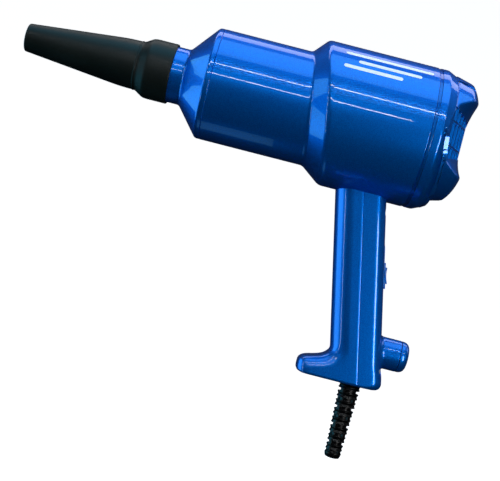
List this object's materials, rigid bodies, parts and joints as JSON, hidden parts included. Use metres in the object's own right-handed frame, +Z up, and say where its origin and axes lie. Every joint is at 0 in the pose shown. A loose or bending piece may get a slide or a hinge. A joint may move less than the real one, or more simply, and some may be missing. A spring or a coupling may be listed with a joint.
{
  "type": "car dryer blower",
  "caption": "Hand-held electric blower for drying a car: tapered rubber nozzle, round barrel, vented motor housing and raked pistol grip with rocker switch.",
  "frame": {"origin": "centre of the hand grip, half way across its depth and width, in the tool's mid-plane", "axes": "-X is the way the air leaves the nozzle, +Z is up from the grip to the barrel, and Y is across the tool"},
  "size_m": [0.4058, 0.128, 0.363],
  "materials": {
    "blue_gloss": "high-gloss metallic blue lacquer over moulded plastic",
    "blue_satin": "blue moulded switch plate, a little less glossy",
    "nozzle_rubber": "matte dark green-black rubber",
    "seal_rubber": "black rubber",
    "boot_rubber": "black flexible moulding, slightly shiny",
    "black_plastic": "fine-grained black plastic",
    "white_plastic": "off-white moulded nylon",
    "board_green": "green solder mask",
    "capacitor_film": "yellow film-capacitor sleeve",
    "filter_foam": "open-cell dark grey foam",
    "lead_sleeve": "black insulated lead",
    "zinc_steel": "zinc-plated steel",
    "bright_steel": "ground steel",
    "pressed_steel": "pressed sheet steel",
    "fan_aluminium": "pressed aluminium",
    "lamination_steel": "varnished steel laminations",
    "copper": "enamelled copper",
    "brass": "stamped brass",
    "carbon": "graphite brush block"
  },
  "bodies": {
    "housing": {"front_cone": "blue_gloss", "spigot_o_ring": "seal_rubber", "barrel_housing": "blue_gloss", "rear_seal": "seal_rubber", "rear_cover": "blue_gloss", "cover_screws": "zinc_steel", "inlet_filter": "filter_foam", "filter_retainer": "seal_rubber", "foam_liner": "filter_foam", "handle_front_shell": "blue_gloss", "handle_back_shell": "blue_gloss", "handle_screws": "zinc_steel", "switch_plate": "blue_satin", "plate_screw": "zinc_steel", "switch_body": "blue_satin", "switch_terminals": "brass", "potentiometer": "pressed_steel", "pot_nut": "zinc_steel", "cable_boot": "boot_rubber", "cable_clamp": "black_plastic", "clamp_screws": "zinc_steel", "terminal_block": "white_plastic", "control_board": "board_green", "capacitor": "capacitor_film", "heat_sink": "fan_aluminium", "motor_leads": "lead_sleeve", "motor_mount_front": "seal_rubber", "motor_mount_rear": "seal_rubber", "motor_bracket_front": "pressed_steel", "motor_bracket_rear": "pressed_steel", "motor_bolts": "zinc_steel", "bearing_front": "bright_steel", "bearing_rear": "bright_steel", "stator_core": "lamination_steel", "stator_windings": "copper", "brush_holders": "brass", "carbon_brushes": "carbon", "fan_case": "pressed_steel", "diffuser": "pressed_steel"},
    "nozzle": {"nozzle": "nozzle_rubber"},
    "rotor": {"motor_shaft": "bright_steel", "armature_core": "lamination_steel", "armature_windings": "copper", "commutator": "copper", "impeller_front": "fan_aluminium", "impeller_rear": "fan_aluminium", "impeller_spacer": "bright_steel", "shaft_nut": "zinc_steel"},
    "rocker": {"rocker": "blue_satin"},
    "knob": {"speed_knob": "blue_gloss", "pot_shaft": "bright_steel"}
  },
  "joints": [
    {"name": "nozzle_pull", "type": "slide", "parent": "housing", "child": "nozzle", "axis": [-1, 0, 0], "range_m": [0, 0.03]},
    {"name": "rotor_spin", "type": "hinge", "parent": "housing", "child": "rotor", "pos_m": [-0.04, 0, 0.137], "axis": [1, 0, 0], "continuous": true},
    {"name": "switch_rock", "type": "hinge", "parent": "housing", "child": "rocker", "pos_m": [0.01781, 0, 0.0075], "axis": [0, 1, 0], "range_deg": [-12, 12]},
    {"name": "speed_turn", "type": "hinge", "parent": "housing", "child": "knob", "pos_m": [0.057, 0, -0.0589], "axis": [1, 0, 0], "range_deg": [0, 280]}
  ]
}
